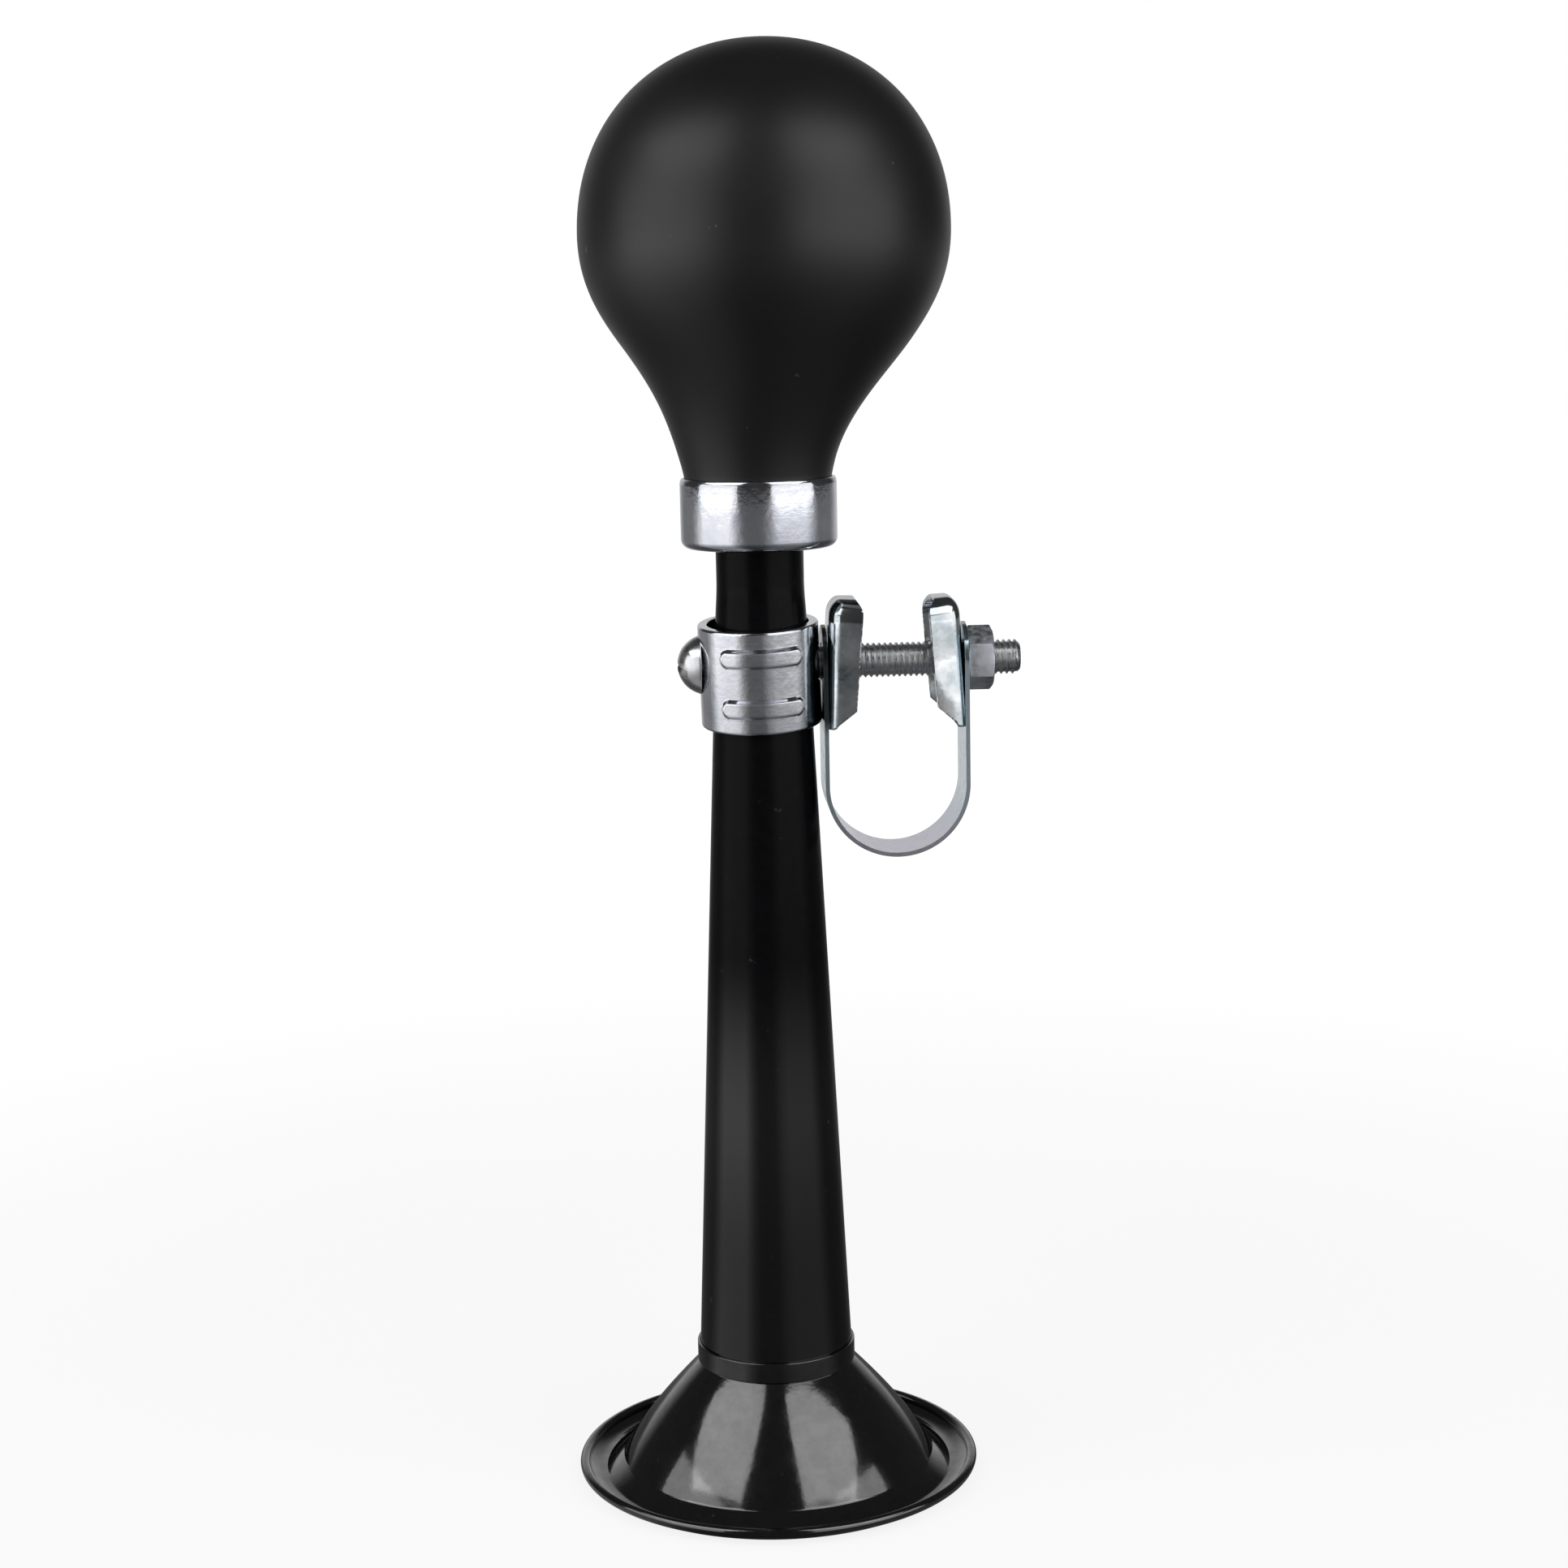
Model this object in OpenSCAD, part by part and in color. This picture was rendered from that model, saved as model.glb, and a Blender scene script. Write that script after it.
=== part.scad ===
// Bulb horn for a bicycle handlebar, millimetres.
// The origin is the centre of the bell's mouth, on the axis of the horn. +Z runs up the horn to the
// bulb, the bell's mouth faces down, and the handlebar clamp stands out along +X.

/* [Bell] */
// Outer radius of the bell over its rolled rim
bell_r = 29.1; // [26:0.1:40]
// Thickness of the bell's sheet
bell_sheet = 0.6; // [0.4:0.05:0.9]
// Radius of the wire edge rolled into the rim
rim_bead_r = 0.75; // [0.5:0.05:1]
// Radius of the bend that turns the brim up to the rim
lip_bend_r = 2.85; // [2:0.05:4]
// Angle through which the brim turns up, in degrees
lip_turn = 60; // [45:1:80]
// Width of the flat ring that the bell stands on
brim_flat = 1.4; // [0.8:0.1:2.5]
// Height of the shoulder where the flare meets the socket
flare_h = 16.7; // [14:0.1:30]
// Height over the brim at which the flare would meet it if it ran on straight
flare_knee = 3.4; // [2:0.1:5]
// Distance of that knee inside the flat ring
flare_knee_in = 0.85; // [0:0.05:3]
// Depth of the socket that takes the tube
socket_h = 3; // [2.5:0.1:5]
// Wall of the socket
socket_wall = 0.42; // [0.35:0.01:0.6]

/* [Tube] */
// Outer radius of the tube at its lower end
tube_low_r = 11; // [10:0.1:12]
// Outer radius at the top of the taper
tube_high_r = 6.42; // [6.3:0.02:6.8]
// Outer radius of the straight neck above the taper
tube_neck_r = 6.15; // [5.9:0.05:6.3]
// Wall of the tube
tube_wall = 0.6; // [0.45:0.05:0.8]
// Length of the taper
taper_h = 105.3; // [95:0.1:140]
// Length of the short cone between taper and neck
swage_h = 3.9; // [2:0.1:6]
// Length of the straight neck that shows under the ferrule
neck_h = 6; // [5:0.1:12]
// Outer radius of the flared end that holds the ferrule
tube_lip_r = 7.6; // [7.2:0.1:8.2]

/* [Bulb ferrule] */
// Outer radius of the ferrule
ferrule_r = 10.95; // [10.5:0.05:13]
// Wall of the ferrule
ferrule_wall = 0.65; // [0.5:0.05:0.9]
// Height of the ferrule
ferrule_h = 9.7; // [8.5:0.1:14]
// Thickness of the ferrule's floor
ferrule_floor = 1; // [0.8:0.05:1.4]
// Radius of the rounded lower edge of the ferrule
ferrule_edge_r = 1.2; // [0.8:0.1:1.6]
// Height of the slanted upper edge that is pressed in on the rubber
ferrule_lip_h = 0.4; // [0.2:0.05:0.8]
// How far the upper edge is pressed in
ferrule_lip_in = 0.25; // [0.1:0.05:0.4]

/* [Bulb] */
// Largest outer radius of the bulb
bulb_r = 25.65; // [22:0.05:30]
// Height of the crown above the widest circle
crown_h = 26; // [22:0.1:30]
// Squareness of the crown, where 2 is round
crown_power = 2.1; // [2:0.05:2.4]
// Height of the widest circle above the top of the ferrule
bulb_rise = 33.5; // [30:0.1:40]
// Length of the full curve under the widest circle
belly_pull = 14.1; // [10:0.1:18]
// Length of the curve into the neck
neck_pull = 15.3; // [12:0.1:18]
// Lean of the neck's curve
neck_lean = 3; // [2:0.1:4]
// Rubber wall of the bulb
bulb_wall = 2.6; // [2:0.1:3.5]

/* [Reed] */
// Outer radius of the reed holder's upper spigot
spigot_r = 7; // [6.5:0.1:7.5]
// Length of the spigot inside the bulb's neck
spigot_h = 6.4; // [5:0.1:8]
// Thickness of the reed holder's flange
holder_flange = 1.4; // [1:0.1:1.8]
// Length of the reed holder's plug in the tube
plug_h = 5.5; // [4:0.1:8]
// Radius of the air way through the plug
air_way_r = 2.4; // [2:0.1:2.5]
// Outer radius of the half-round trough
trough_r = 3; // [2.8:0.1:3.4]
// Wall of the trough
trough_wall = 0.5; // [0.4:0.05:0.7]
// Length of the trough that stands free in the bulb
trough_free = 18; // [14:0.5:24]
// Thickness of the tongue
tongue_t = 0.25; // [0.2:0.01:0.35]
// Width of the tongue
tongue_w = 4.6; // [4:0.1:5]
// Gap under the tongue's free end
tongue_gap = 0.5; // [0.3:0.05:0.8]

/* [Tube collar] */
// Distance of the collar's middle below the top of the tube's taper
collar_drop = 8.1; // [7.5:0.1:12]
// Height of the collar
collar_h = 14; // [12:0.1:16]
// Outer radius of the collar
collar_r = 8.5; // [8.5:0.1:9.2]
// Wall of the collar
collar_wall = 1.2; // [1:0.05:1.2]
// Height of one pressed rib
rib_w = 2.8; // [2:0.1:3.2]
// How far a rib stands out
rib_out = 0.5; // [0.3:0.05:0.8]
// Height of a rib's middle over or under the collar's middle
rib_offset = 3.55; // [3:0.05:4]
// Half angle that a rib covers, in degrees
rib_half_angle = 42; // [30:1:50]

/* [Clamp bolt] */
// Radius of the bolt's thread
bolt_r = 2.45; // [2.4:0.05:2.5]
// Length of the bolt under its head
bolt_len = 45; // [44:0.5:50]
// Height of the bolt over the collar's middle
bolt_over_collar = 1.6; // [0:0.1:2]
// Radius of the round head
head_r = 4.15; // [3.8:0.05:4.6]
// Height of the round head
head_h = 3.3; // [2.8:0.1:3.6]
// Width of the screwdriver slot
slot_w = 1.1; // [0.8:0.1:1.4]
// Depth of the screwdriver slot
slot_d = 1.3; // [1:0.1:1.6]
// Width of the nut across its flats
nut_af = 8; // [7.8:0.1:8.4]
// Thickness of the nut
nut_h = 3.8; // [3.2:0.1:4.2]

/* [Handlebar clamp] */
// Thickness of the strap
strap_t = 0.7; // [0.5:0.05:1]
// Width of the strap
strap_w = 10; // [8:0.1:11]
// Inner width of the strap's loop
loop_w = 18.9; // [17:0.1:24]
// Depth of the loop's inside under the bolt
loop_drop = 26.6; // [24:0.1:32]
// Width of a jaw
jaw_w = 11; // [10:0.1:12]
// Depth of a jaw from its base to its flanges' edges
jaw_depth = 4.4; // [3.8:0.1:5]
// Half length of a jaw above and below the bolt
jaw_half = 8.7; // [8:0.1:9.5]
// Thickness of the jaw's pressed sheet
jaw_sheet = 0.9; // [0.7:0.05:1.1]
// Radius of the rounded outer edges of a jaw
jaw_edge_r = 2.2; // [1.6:0.1:2.4]
// Height of the slanted cut at the lower end of a jaw
jaw_cut = 3.4; // [2:0.1:4.5]

/* [Hidden] */
$fn = 96;

// Clearances: between fixed round parts, in drilled holes, and between parts that turn on each other
fit = 0.03;
hole_play = 0.25;
turn_gap = 0.1;
// How far a cutter runs past a face
past = 1;

// Heights along the horn
tube_seat = 0.3;
taper_gap = 0.5;
tube_z = flare_h + tube_seat;
socket_top = flare_h + socket_h;
taper_z = socket_top + taper_gap;
taper_top = taper_z + taper_h;
neck_z = taper_top + swage_h;
ferrule_z = neck_z + neck_h;
ferrule_top = ferrule_z + ferrule_h;
floor_top = ferrule_z + ferrule_floor;
tube_top = floor_top + tube_wall;
flange_top = tube_top + holder_flange;
spigot_top = flange_top + spigot_h;
bulb_z = ferrule_top + bulb_rise;
collar_z = taper_top - collar_drop;
bolt_z = collar_z + bolt_over_collar;
ferrule_bore = ferrule_r - ferrule_wall;
bulb_neck_r = ferrule_bore - fit;
hole_r = bolt_r + hole_play;

// Places along the bolt
strap_x = collar_r + turn_gap;
inner_jaw_x = strap_x + strap_t;
outer_jaw_x = inner_jaw_x + loop_w;
nut_x = outer_jaw_x + strap_t + turn_gap;
loop_r = loop_w / 2;
loop_x = inner_jaw_x + loop_r;
loop_z = bolt_z - loop_drop + loop_r;

// A point on a cubic curve through four control points, and the direction there
function curve_at(p, s) = pow(1 - s, 3) * p[0] + 3 * s * pow(1 - s, 2) * p[1]
    + 3 * s * s * (1 - s) * p[2] + pow(s, 3) * p[3];
function curve_way(p, s) = pow(1 - s, 2) * (p[1] - p[0]) + 2 * s * (1 - s) * (p[2] - p[1])
    + s * s * (p[3] - p[2]);
// The same point moved sideways by t, to the right of the way the curve runs
function curve_beside(p, s, t) = let (d = curve_way(p, s))
    curve_at(p, s) + t / norm(d) * [d[1], -d[0]];

// The upper face of the bell's flare runs from the socket's shoulder out to the brim
socket_bore = tube_low_r + fit;
socket_r = socket_bore + socket_wall;
shoulder_step = 0.18;
flare_late = 2;
flare_top_r = socket_r - shoulder_step;
bend_x = bell_r - rim_bead_r - lip_bend_r * sin(lip_turn);
bend_z = lip_bend_r + bell_sheet / 2;
brim_r = bend_x - brim_flat;
flare_curve = [
    [flare_top_r, flare_h],
    [brim_r - flare_knee_in, bell_sheet + flare_knee],
    [brim_r - flare_late, bell_sheet],
    [brim_r, bell_sheet]
];
flare_steps = 20;
bend_steps = 6;
bend_share = 1 - rim_bead_r / (lip_bend_r * lip_turn * PI / 180);
bead_steps = 24;
bead_open = asin(bell_sheet / 2 / rim_bead_r);
socket_edge = 0.12;

// A point on the upturned edge, at radius r round the bend's centre and share s of the turn
function bend_at(r, s) = [bend_x + r * sin(s * lip_turn), bend_z - r * cos(s * lip_turn)];
// A point on the rolled bead at the edge's end, from its upper joint with the sheet to its lower one
function bead_at(s) = let (a = lip_turn + (180 - bead_open) * (1 - 2 * s))
    bend_at(lip_bend_r, 1) + rim_bead_r * [cos(a), sin(a)];

module bell() {
    color("black") rotate_extrude() {
        polygon(concat(
            [[socket_bore, tube_z], [socket_bore, socket_top - socket_edge],
                [socket_bore + socket_edge, socket_top], [socket_r - socket_edge, socket_top],
                [socket_r, socket_top - socket_edge], [socket_r, flare_h + shoulder_step]],
            [for (i = [0 : flare_steps]) curve_at(flare_curve, i / flare_steps)],
            [for (i = [0 : bend_steps]) bend_at(lip_bend_r - bell_sheet / 2, bend_share * i / bend_steps)],
            [for (i = [0 : bead_steps]) bead_at(i / bead_steps)],
            [for (i = [bend_steps : -1 : 0]) bend_at(lip_bend_r + bell_sheet / 2, bend_share * i / bend_steps)],
            [for (i = [flare_steps : -1 : 0]) curve_beside(flare_curve, i / flare_steps, bell_sheet)],
            [[flare_top_r - bell_sheet, tube_z]]
        ));
    }
}

tube_bore = tube_neck_r - tube_wall;
tube_outline = [[tube_low_r, tube_z + fit], [tube_low_r, taper_z], [tube_high_r, taper_top],
    [tube_neck_r, neck_z], [tube_neck_r, floor_top], [tube_lip_r, floor_top], [tube_lip_r, tube_top]];
tube_inside = [[tube_bore, tube_top], [tube_bore, neck_z], [tube_high_r - tube_wall, taper_top],
    [tube_low_r - tube_wall, taper_z], [tube_low_r - tube_wall, tube_z + fit]];

module horn_tube() {
    color("black") difference() {
        rotate_extrude() polygon(concat(tube_outline, tube_inside));
        bolt_hole(-tube_low_r, tube_low_r);
    }
}

// A round hole along the bolt, from one place on the X axis to another
module bolt_hole(from_x, to_x) {
    translate([from_x, 0, bolt_z]) rotate([0, 90, 0]) cylinder(r = hole_r, h = to_x - from_x);
}

module bulb_ferrule() {
    color("silver") rotate_extrude() difference() {
        union() {
            translate([0, ferrule_z]) square([ferrule_r - ferrule_edge_r, ferrule_edge_r]);
            translate([ferrule_r - ferrule_edge_r, ferrule_z + ferrule_edge_r]) circle(ferrule_edge_r);
            polygon([[0, ferrule_z + ferrule_edge_r], [ferrule_r, ferrule_z + ferrule_edge_r],
                [ferrule_r, ferrule_top - ferrule_lip_h], [ferrule_r - ferrule_lip_in, ferrule_top],
                [0, ferrule_top]]);
        }
        translate([0, floor_top]) square([ferrule_bore, ferrule_h]);
        translate([0, ferrule_z - past]) square([tube_neck_r + fit, ferrule_floor + 2 * past]);
    }
}

module reed_holder() {
    color("goldenrod") translate([0, 0, tube_top]) difference() {
        union() {
            translate([0, 0, -plug_h]) cylinder(r = tube_bore - fit, h = plug_h + past);
            cylinder(r = bulb_neck_r, h = holder_flange);
            cylinder(r = spigot_r, h = holder_flange + spigot_h);
        }
        translate([0, 0, -plug_h - past]) cylinder(r = air_way_r, h = plug_h + 2 * past);
        cylinder(r = trough_r + fit, h = holder_flange + spigot_h + past);
    }
}

// The trough is half a tube, open towards -Y, and closed at its upper end
trough_h = holder_flange + spigot_h + trough_free;

module reed_trough() {
    color("goldenrod") translate([0, 0, tube_top]) difference() {
        cylinder(r = trough_r, h = trough_h);
        translate([0, 0, -past]) cylinder(r = trough_r - trough_wall, h = past + trough_h - 2 * trough_wall);
        translate([-trough_r - past, -trough_r - past, -past])
            cube([2 * trough_r + 2 * past, trough_r + past, trough_h + 2 * past]);
    }
}

// The tongue is held flat at its root and stands off a little at its free end
root_sink = 0.5;
root_low = 1;
root_top = holder_flange + spigot_h - root_low;
tongue_top = trough_h - trough_wall;

module reed_tongue() {
    color("gold") translate([-tongue_w / 2, 0, tube_top]) rotate([90, 0, 90])
        linear_extrude(tongue_w) polygon([[-fit, root_sink], [-fit, root_top],
            [-fit - tongue_gap, tongue_top], [-fit - tongue_gap - tongue_t, tongue_top],
            [-fit - tongue_t, root_top], [-fit - tongue_t, root_sink]]);
}

// The wedge fills the rest of the holder's bore in front of the tongue's root, and is cut hollow in front
module reed_wedge() {
    back_y = 2 * fit + tongue_t;
    wedge_h = root_top - root_sink;
    hollow_r = trough_r - 0.6;
    hollow_y = -trough_r - 1.2;
    color("goldenrod") translate([0, 0, tube_top + root_sink]) difference() {
        cylinder(r = trough_r, h = wedge_h);
        translate([-trough_r - past, -back_y, -past])
            cube([2 * trough_r + 2 * past, trough_r + back_y + past, wedge_h + 2 * past]);
        translate([0, hollow_y, -past]) cylinder(r = hollow_r, h = wedge_h + 2 * past);
    }
}

// Outline of the bulb from its neck up to the crown, drawn in by t for the inside
neck_steps = 24;
crown_steps = 18;

function bulb_side(t, neck_r) = concat(
    [for (i = [0 : neck_steps]) curve_at([
        [neck_r, ferrule_top],
        [neck_r + neck_lean, ferrule_top + neck_pull],
        [bulb_r - t, bulb_z - belly_pull],
        [bulb_r - t, bulb_z]], i / neck_steps)],
    [for (i = [1 : crown_steps]) let (rise = sin(90 * i / crown_steps))
        [(bulb_r - t) * pow(1 - pow(rise, crown_power), 1 / crown_power), bulb_z + (crown_h - t) * rise]]
);

module bulb() {
    neck_bore = spigot_r + fit;
    color("dimgray") difference() {
        rotate_extrude() polygon(concat([[0, flange_top], [bulb_neck_r, flange_top]],
            bulb_side(0, bulb_neck_r)));
        rotate_extrude() polygon(concat([[0, flange_top - past], [neck_bore, flange_top - past]],
            bulb_side(bulb_wall, neck_bore)));
    }
}

module tube_collar() {
    color("lightgray") translate([0, 0, collar_z]) difference() {
        union() {
            rotate_extrude() collar_section();
            for (side = [0, 180], level = [-rib_offset, rib_offset])
                rotate([0, 0, side]) translate([0, 0, level]) collar_rib();
        }
        cylinder(r = collar_r - collar_wall, h = collar_h + 2 * past, center = true);
        translate([0, 0, -collar_z]) bolt_hole(-collar_r - past, collar_r + past);
    }
}

// The collar's edges are broken by a small chamfer
module collar_section() {
    edge = 0.3;
    polygon([[0, -collar_h / 2], [collar_r - edge, -collar_h / 2], [collar_r, -collar_h / 2 + edge],
        [collar_r, collar_h / 2 - edge], [collar_r - edge, collar_h / 2], [0, collar_h / 2]]);
}

// One pressed rib round the front, with round ends
module collar_rib() {
    end_angle = rib_half_angle - asin(rib_w / 2 / collar_r);
    intersection() {
        cylinder(r = collar_r + rib_out, h = rib_w, center = true);
        union() {
            rotate([0, 0, -90 - end_angle]) rotate_extrude(angle = 2 * end_angle)
                translate([0, -rib_w / 2]) square([collar_r + past, rib_w]);
            for (turn = [-90 - end_angle, -90 + end_angle])
                rotate([0, 0, turn]) rotate([0, 90, 0]) cylinder(r = rib_w / 2, h = collar_r + past);
        }
    }
}

// A jaw stands with its base plate on x = 0 and its open side towards +X
module jaw() {
    color("lightgray") difference() {
        intersection() {
            jaw_side(0);
            jaw_plan(0);
        }
        intersection() {
            jaw_side(jaw_sheet);
            jaw_plan(jaw_sheet);
        }
        translate([-past, 0, 0]) rotate([0, 90, 0]) cylinder(r = hole_r, h = jaw_depth + 2 * past);
    }
}

// The jaw seen from the front, drawn in by t for the inside
module jaw_side(t) {
    foot = 1;
    slope = jaw_cut / (jaw_depth - foot);
    top = jaw_half - t;
    round_r = jaw_edge_r - t;
    reach = t > 0 ? jaw_depth + past : jaw_depth;
    low = t > 0 ? -jaw_half - past : -jaw_half;
    rotate([90, 0, 0]) translate([0, 0, -jaw_w]) linear_extrude(2 * jaw_w) difference() {
        union() {
            translate([t, low]) square([reach - t, top - low - round_r]);
            translate([t + round_r, low]) square([reach - t - round_r, top - low]);
            translate([t + round_r, top - round_r]) circle(round_r);
        }
        if (t == 0) polygon([[foot, -jaw_half], [jaw_depth + past, -jaw_half],
            [jaw_depth + past, -jaw_half + jaw_cut + past * slope]]);
    }
}

// The jaw seen from above, drawn in by t for the inside
module jaw_plan(t) {
    half = jaw_w / 2 - t;
    round_r = jaw_edge_r - t;
    reach = t > 0 ? jaw_depth + past : jaw_depth;
    translate([0, 0, -2 * jaw_half]) linear_extrude(4 * jaw_half) union() {
        translate([t + round_r, -half]) square([reach - t - round_r, 2 * half]);
        translate([t, -half + round_r]) square([reach - t, 2 * half - 2 * round_r]);
        for (side = [-1, 1]) translate([t + round_r, side * (half - round_r)]) circle(round_r);
    }
}

module inner_jaw() {
    translate([inner_jaw_x, 0, bolt_z]) jaw();
}

module outer_jaw() {
    translate([outer_jaw_x, 0, bolt_z]) mirror([1, 0, 0]) jaw();
}

module handlebar_strap() {
    end_r = strap_w / 2;
    color("slategray") difference() {
        union() {
            for (x = [strap_x, outer_jaw_x]) {
                translate([x, -strap_w / 2, loop_z]) cube([strap_t, strap_w, bolt_z - loop_z]);
                translate([x, 0, bolt_z]) rotate([0, 90, 0]) cylinder(r = end_r, h = strap_t);
            }
            translate([loop_x, 0, loop_z]) rotate([90, 0, 0]) difference() {
                cylinder(r = loop_r + strap_t, h = strap_w, center = true);
                cylinder(r = loop_r, h = strap_w + 2 * past, center = true);
                translate([-2 * loop_r, 0, -strap_w]) cube([4 * loop_r, 2 * loop_r, 2 * strap_w]);
            }
        }
        bolt_hole(strap_x - past, nut_x + past);
    }
}

module clamp_bolt() {
    dome_r = (head_r * head_r + head_h * head_h) / (2 * head_h);
    tip = 0.6;
    color("silver") translate([-collar_r - turn_gap, 0, bolt_z]) rotate([0, 90, 0]) {
        translate([0, 0, -past]) cylinder(r = bolt_r, h = bolt_len - tip + past);
        translate([0, 0, bolt_len - tip]) cylinder(r1 = bolt_r, r2 = bolt_r - tip, h = tip);
        difference() {
            intersection() {
                translate([0, 0, dome_r - head_h]) sphere(dome_r);
                translate([0, 0, -head_h]) cylinder(r = head_r, h = head_h);
            }
            translate([-slot_w / 2, -head_r - past, -head_h - past])
                cube([slot_w, 2 * head_r + 2 * past, slot_d + past]);
        }
    }
}

module clamp_nut() {
    corner_r = nut_af / 2 / cos(30);
    bevel = (corner_r - nut_af / 2) * tan(30);
    color("silver") translate([nut_x, 0, bolt_z]) rotate([0, 90, 0]) difference() {
        intersection() {
            cylinder(r = corner_r, h = nut_h, $fn = 6);
            rotate_extrude() polygon([[0, 0], [nut_af / 2, 0], [corner_r, bevel],
                [corner_r, nut_h - bevel], [nut_af / 2, nut_h], [0, nut_h]]);
        }
        translate([0, 0, -past]) cylinder(r = bolt_r + turn_gap, h = nut_h + 2 * past);
    }
}

bell();
horn_tube();
bulb_ferrule();
reed_holder();
reed_trough();
reed_tongue();
reed_wedge();
bulb();
tube_collar();
inner_jaw();
outer_jaw();
handlebar_strap();
clamp_bolt();
clamp_nut();
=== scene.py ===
# Bulb horn for a bicycle handlebar: pieces, finishes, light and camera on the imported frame
import bpy, bmesh
from math import asin, atan, atan2, cos, exp, pi, radians, sin, sqrt, tan
from mathutils import Matrix, Quaternion, Vector
from mathutils.geometry import interpolate_bezier


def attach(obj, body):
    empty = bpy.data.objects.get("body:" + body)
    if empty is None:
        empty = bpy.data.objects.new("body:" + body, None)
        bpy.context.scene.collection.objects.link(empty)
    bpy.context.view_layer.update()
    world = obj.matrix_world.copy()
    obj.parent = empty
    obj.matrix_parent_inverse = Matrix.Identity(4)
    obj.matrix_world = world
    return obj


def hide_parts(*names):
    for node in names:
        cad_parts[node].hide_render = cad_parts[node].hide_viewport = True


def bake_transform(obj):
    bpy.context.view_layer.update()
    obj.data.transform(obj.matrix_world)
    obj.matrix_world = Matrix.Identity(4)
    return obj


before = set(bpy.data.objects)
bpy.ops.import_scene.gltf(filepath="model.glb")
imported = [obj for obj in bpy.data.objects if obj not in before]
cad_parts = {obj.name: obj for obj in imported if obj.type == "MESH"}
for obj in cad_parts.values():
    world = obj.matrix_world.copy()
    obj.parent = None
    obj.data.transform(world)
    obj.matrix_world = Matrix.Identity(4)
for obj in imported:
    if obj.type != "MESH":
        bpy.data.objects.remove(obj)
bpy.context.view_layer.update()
scene = bpy.context.scene
mm = 0.001
print("frame loaded, solids:", len(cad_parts))

# heights along the horn, in millimetres above the table
heights = {"tubeFoot": 17.0, "socketTop": 19.7, "taperTop": 125.5, "neck": 129.4, "ferruleBottom": 135.4,
           "floorTop": 136.4, "tubeTop": 137.0, "flangeTop": 138.4, "ferruleTop": 145.1, "bolt": 119.0,
           "collar": 117.65, "bulbMiddle": 178.6}
boreRadius = 2.7  # the bolt's hole through tube, collar, jaws and strap


# a material from a short dictionary, with its shader and its Object coordinates at hand
def newFinish(name, look):
    material = bpy.data.materials.new(name)
    material.use_nodes = True
    nodes = material.node_tree.nodes
    shader = nodes["Principled BSDF"]
    shader.inputs["Base Color"].default_value = (*look["colour"], 1)
    shader.inputs["Metallic"].default_value = look.get("metallic", 0)
    shader.inputs["Roughness"].default_value = look.get("roughness", 0.5)
    shader.inputs["Coat Weight"].default_value = look.get("coat", 0)
    shader.inputs["Coat Roughness"].default_value = look.get("coatRoughness", 0.1)
    place = nodes.new("ShaderNodeTexCoord")
    return material, shader, place


def link(material, source, target):
    material.node_tree.links.new(source, target)


def noiseOn(material, place, scale, detail=4, rough=0.5, stretch=None):
    nodes = material.node_tree.nodes
    noise = nodes.new("ShaderNodeTexNoise")
    noise.inputs["Scale"].default_value = scale
    noise.inputs["Detail"].default_value = detail
    noise.inputs["Roughness"].default_value = rough
    source = place.outputs["Object"]
    if stretch:
        mapping = nodes.new("ShaderNodeMapping")
        mapping.inputs["Scale"].default_value = stretch
        link(material, source, mapping.inputs["Vector"])
        source = mapping.outputs["Vector"]
    link(material, source, noise.inputs["Vector"])
    return noise.outputs["Fac"]


def rampOn(material, source, stops, interpolation="LINEAR"):
    ramp = material.node_tree.nodes.new("ShaderNodeValToRGB")
    ramp.color_ramp.interpolation = interpolation
    elements = ramp.color_ramp.elements
    while len(elements) < len(stops):
        elements.new(0.5)
    for element, (position, colour) in zip(elements, stops):
        element.position = position
        element.color = (colour, colour, colour, 1) if isinstance(colour, (int, float)) else (*colour, 1)
    link(material, source, ramp.inputs["Fac"])
    return ramp.outputs["Color"]


def mathOn(material, operation, first, second):
    node = material.node_tree.nodes.new("ShaderNodeMath")
    node.operation = operation
    for socket, value in zip(node.inputs, (first, second)):
        if isinstance(value, (int, float)):
            socket.default_value = value
        else:
            link(material, value, socket)
    return node.outputs["Value"]


# one value to another, softly or straight, as the source goes from start to end
def fadeOn(material, source, start, end, low=0, high=1, interpolation="SMOOTHSTEP"):
    node = material.node_tree.nodes.new("ShaderNodeMapRange")
    node.interpolation_type = interpolation
    if start > end:
        start, end, low, high = end, start, high, low
    for socket, value in (("From Min", start), ("From Max", end), ("To Min", low), ("To Max", high)):
        node.inputs[socket].default_value = value
    link(material, source, node.inputs["Value"])
    return node.outputs["Result"]


# x, y and z of a vector
def splitOn(material, place):
    split = material.node_tree.nodes.new("ShaderNodeSeparateXYZ")
    link(material, place, split.inputs["Vector"])
    return split.outputs


def mixOn(material, mask, first, second):
    node = material.node_tree.nodes.new("ShaderNodeMix")
    node.data_type = "RGBA"
    link(material, mask, node.inputs["Factor"])
    for socket, value in ((node.inputs["A"], first), (node.inputs["B"], second)):
        if isinstance(value, tuple):
            socket.default_value = (*value, 1)
        else:
            link(material, value, socket)
    return node.outputs["Result"]


def bumpOn(material, shader, source, strength, distance):
    bump = material.node_tree.nodes.new("ShaderNodeBump")
    bump.inputs["Strength"].default_value = strength
    bump.inputs["Distance"].default_value = distance * mm
    link(material, source, bump.inputs["Height"])
    link(material, bump.outputs["Normal"], shader.inputs["Normal"])


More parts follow.
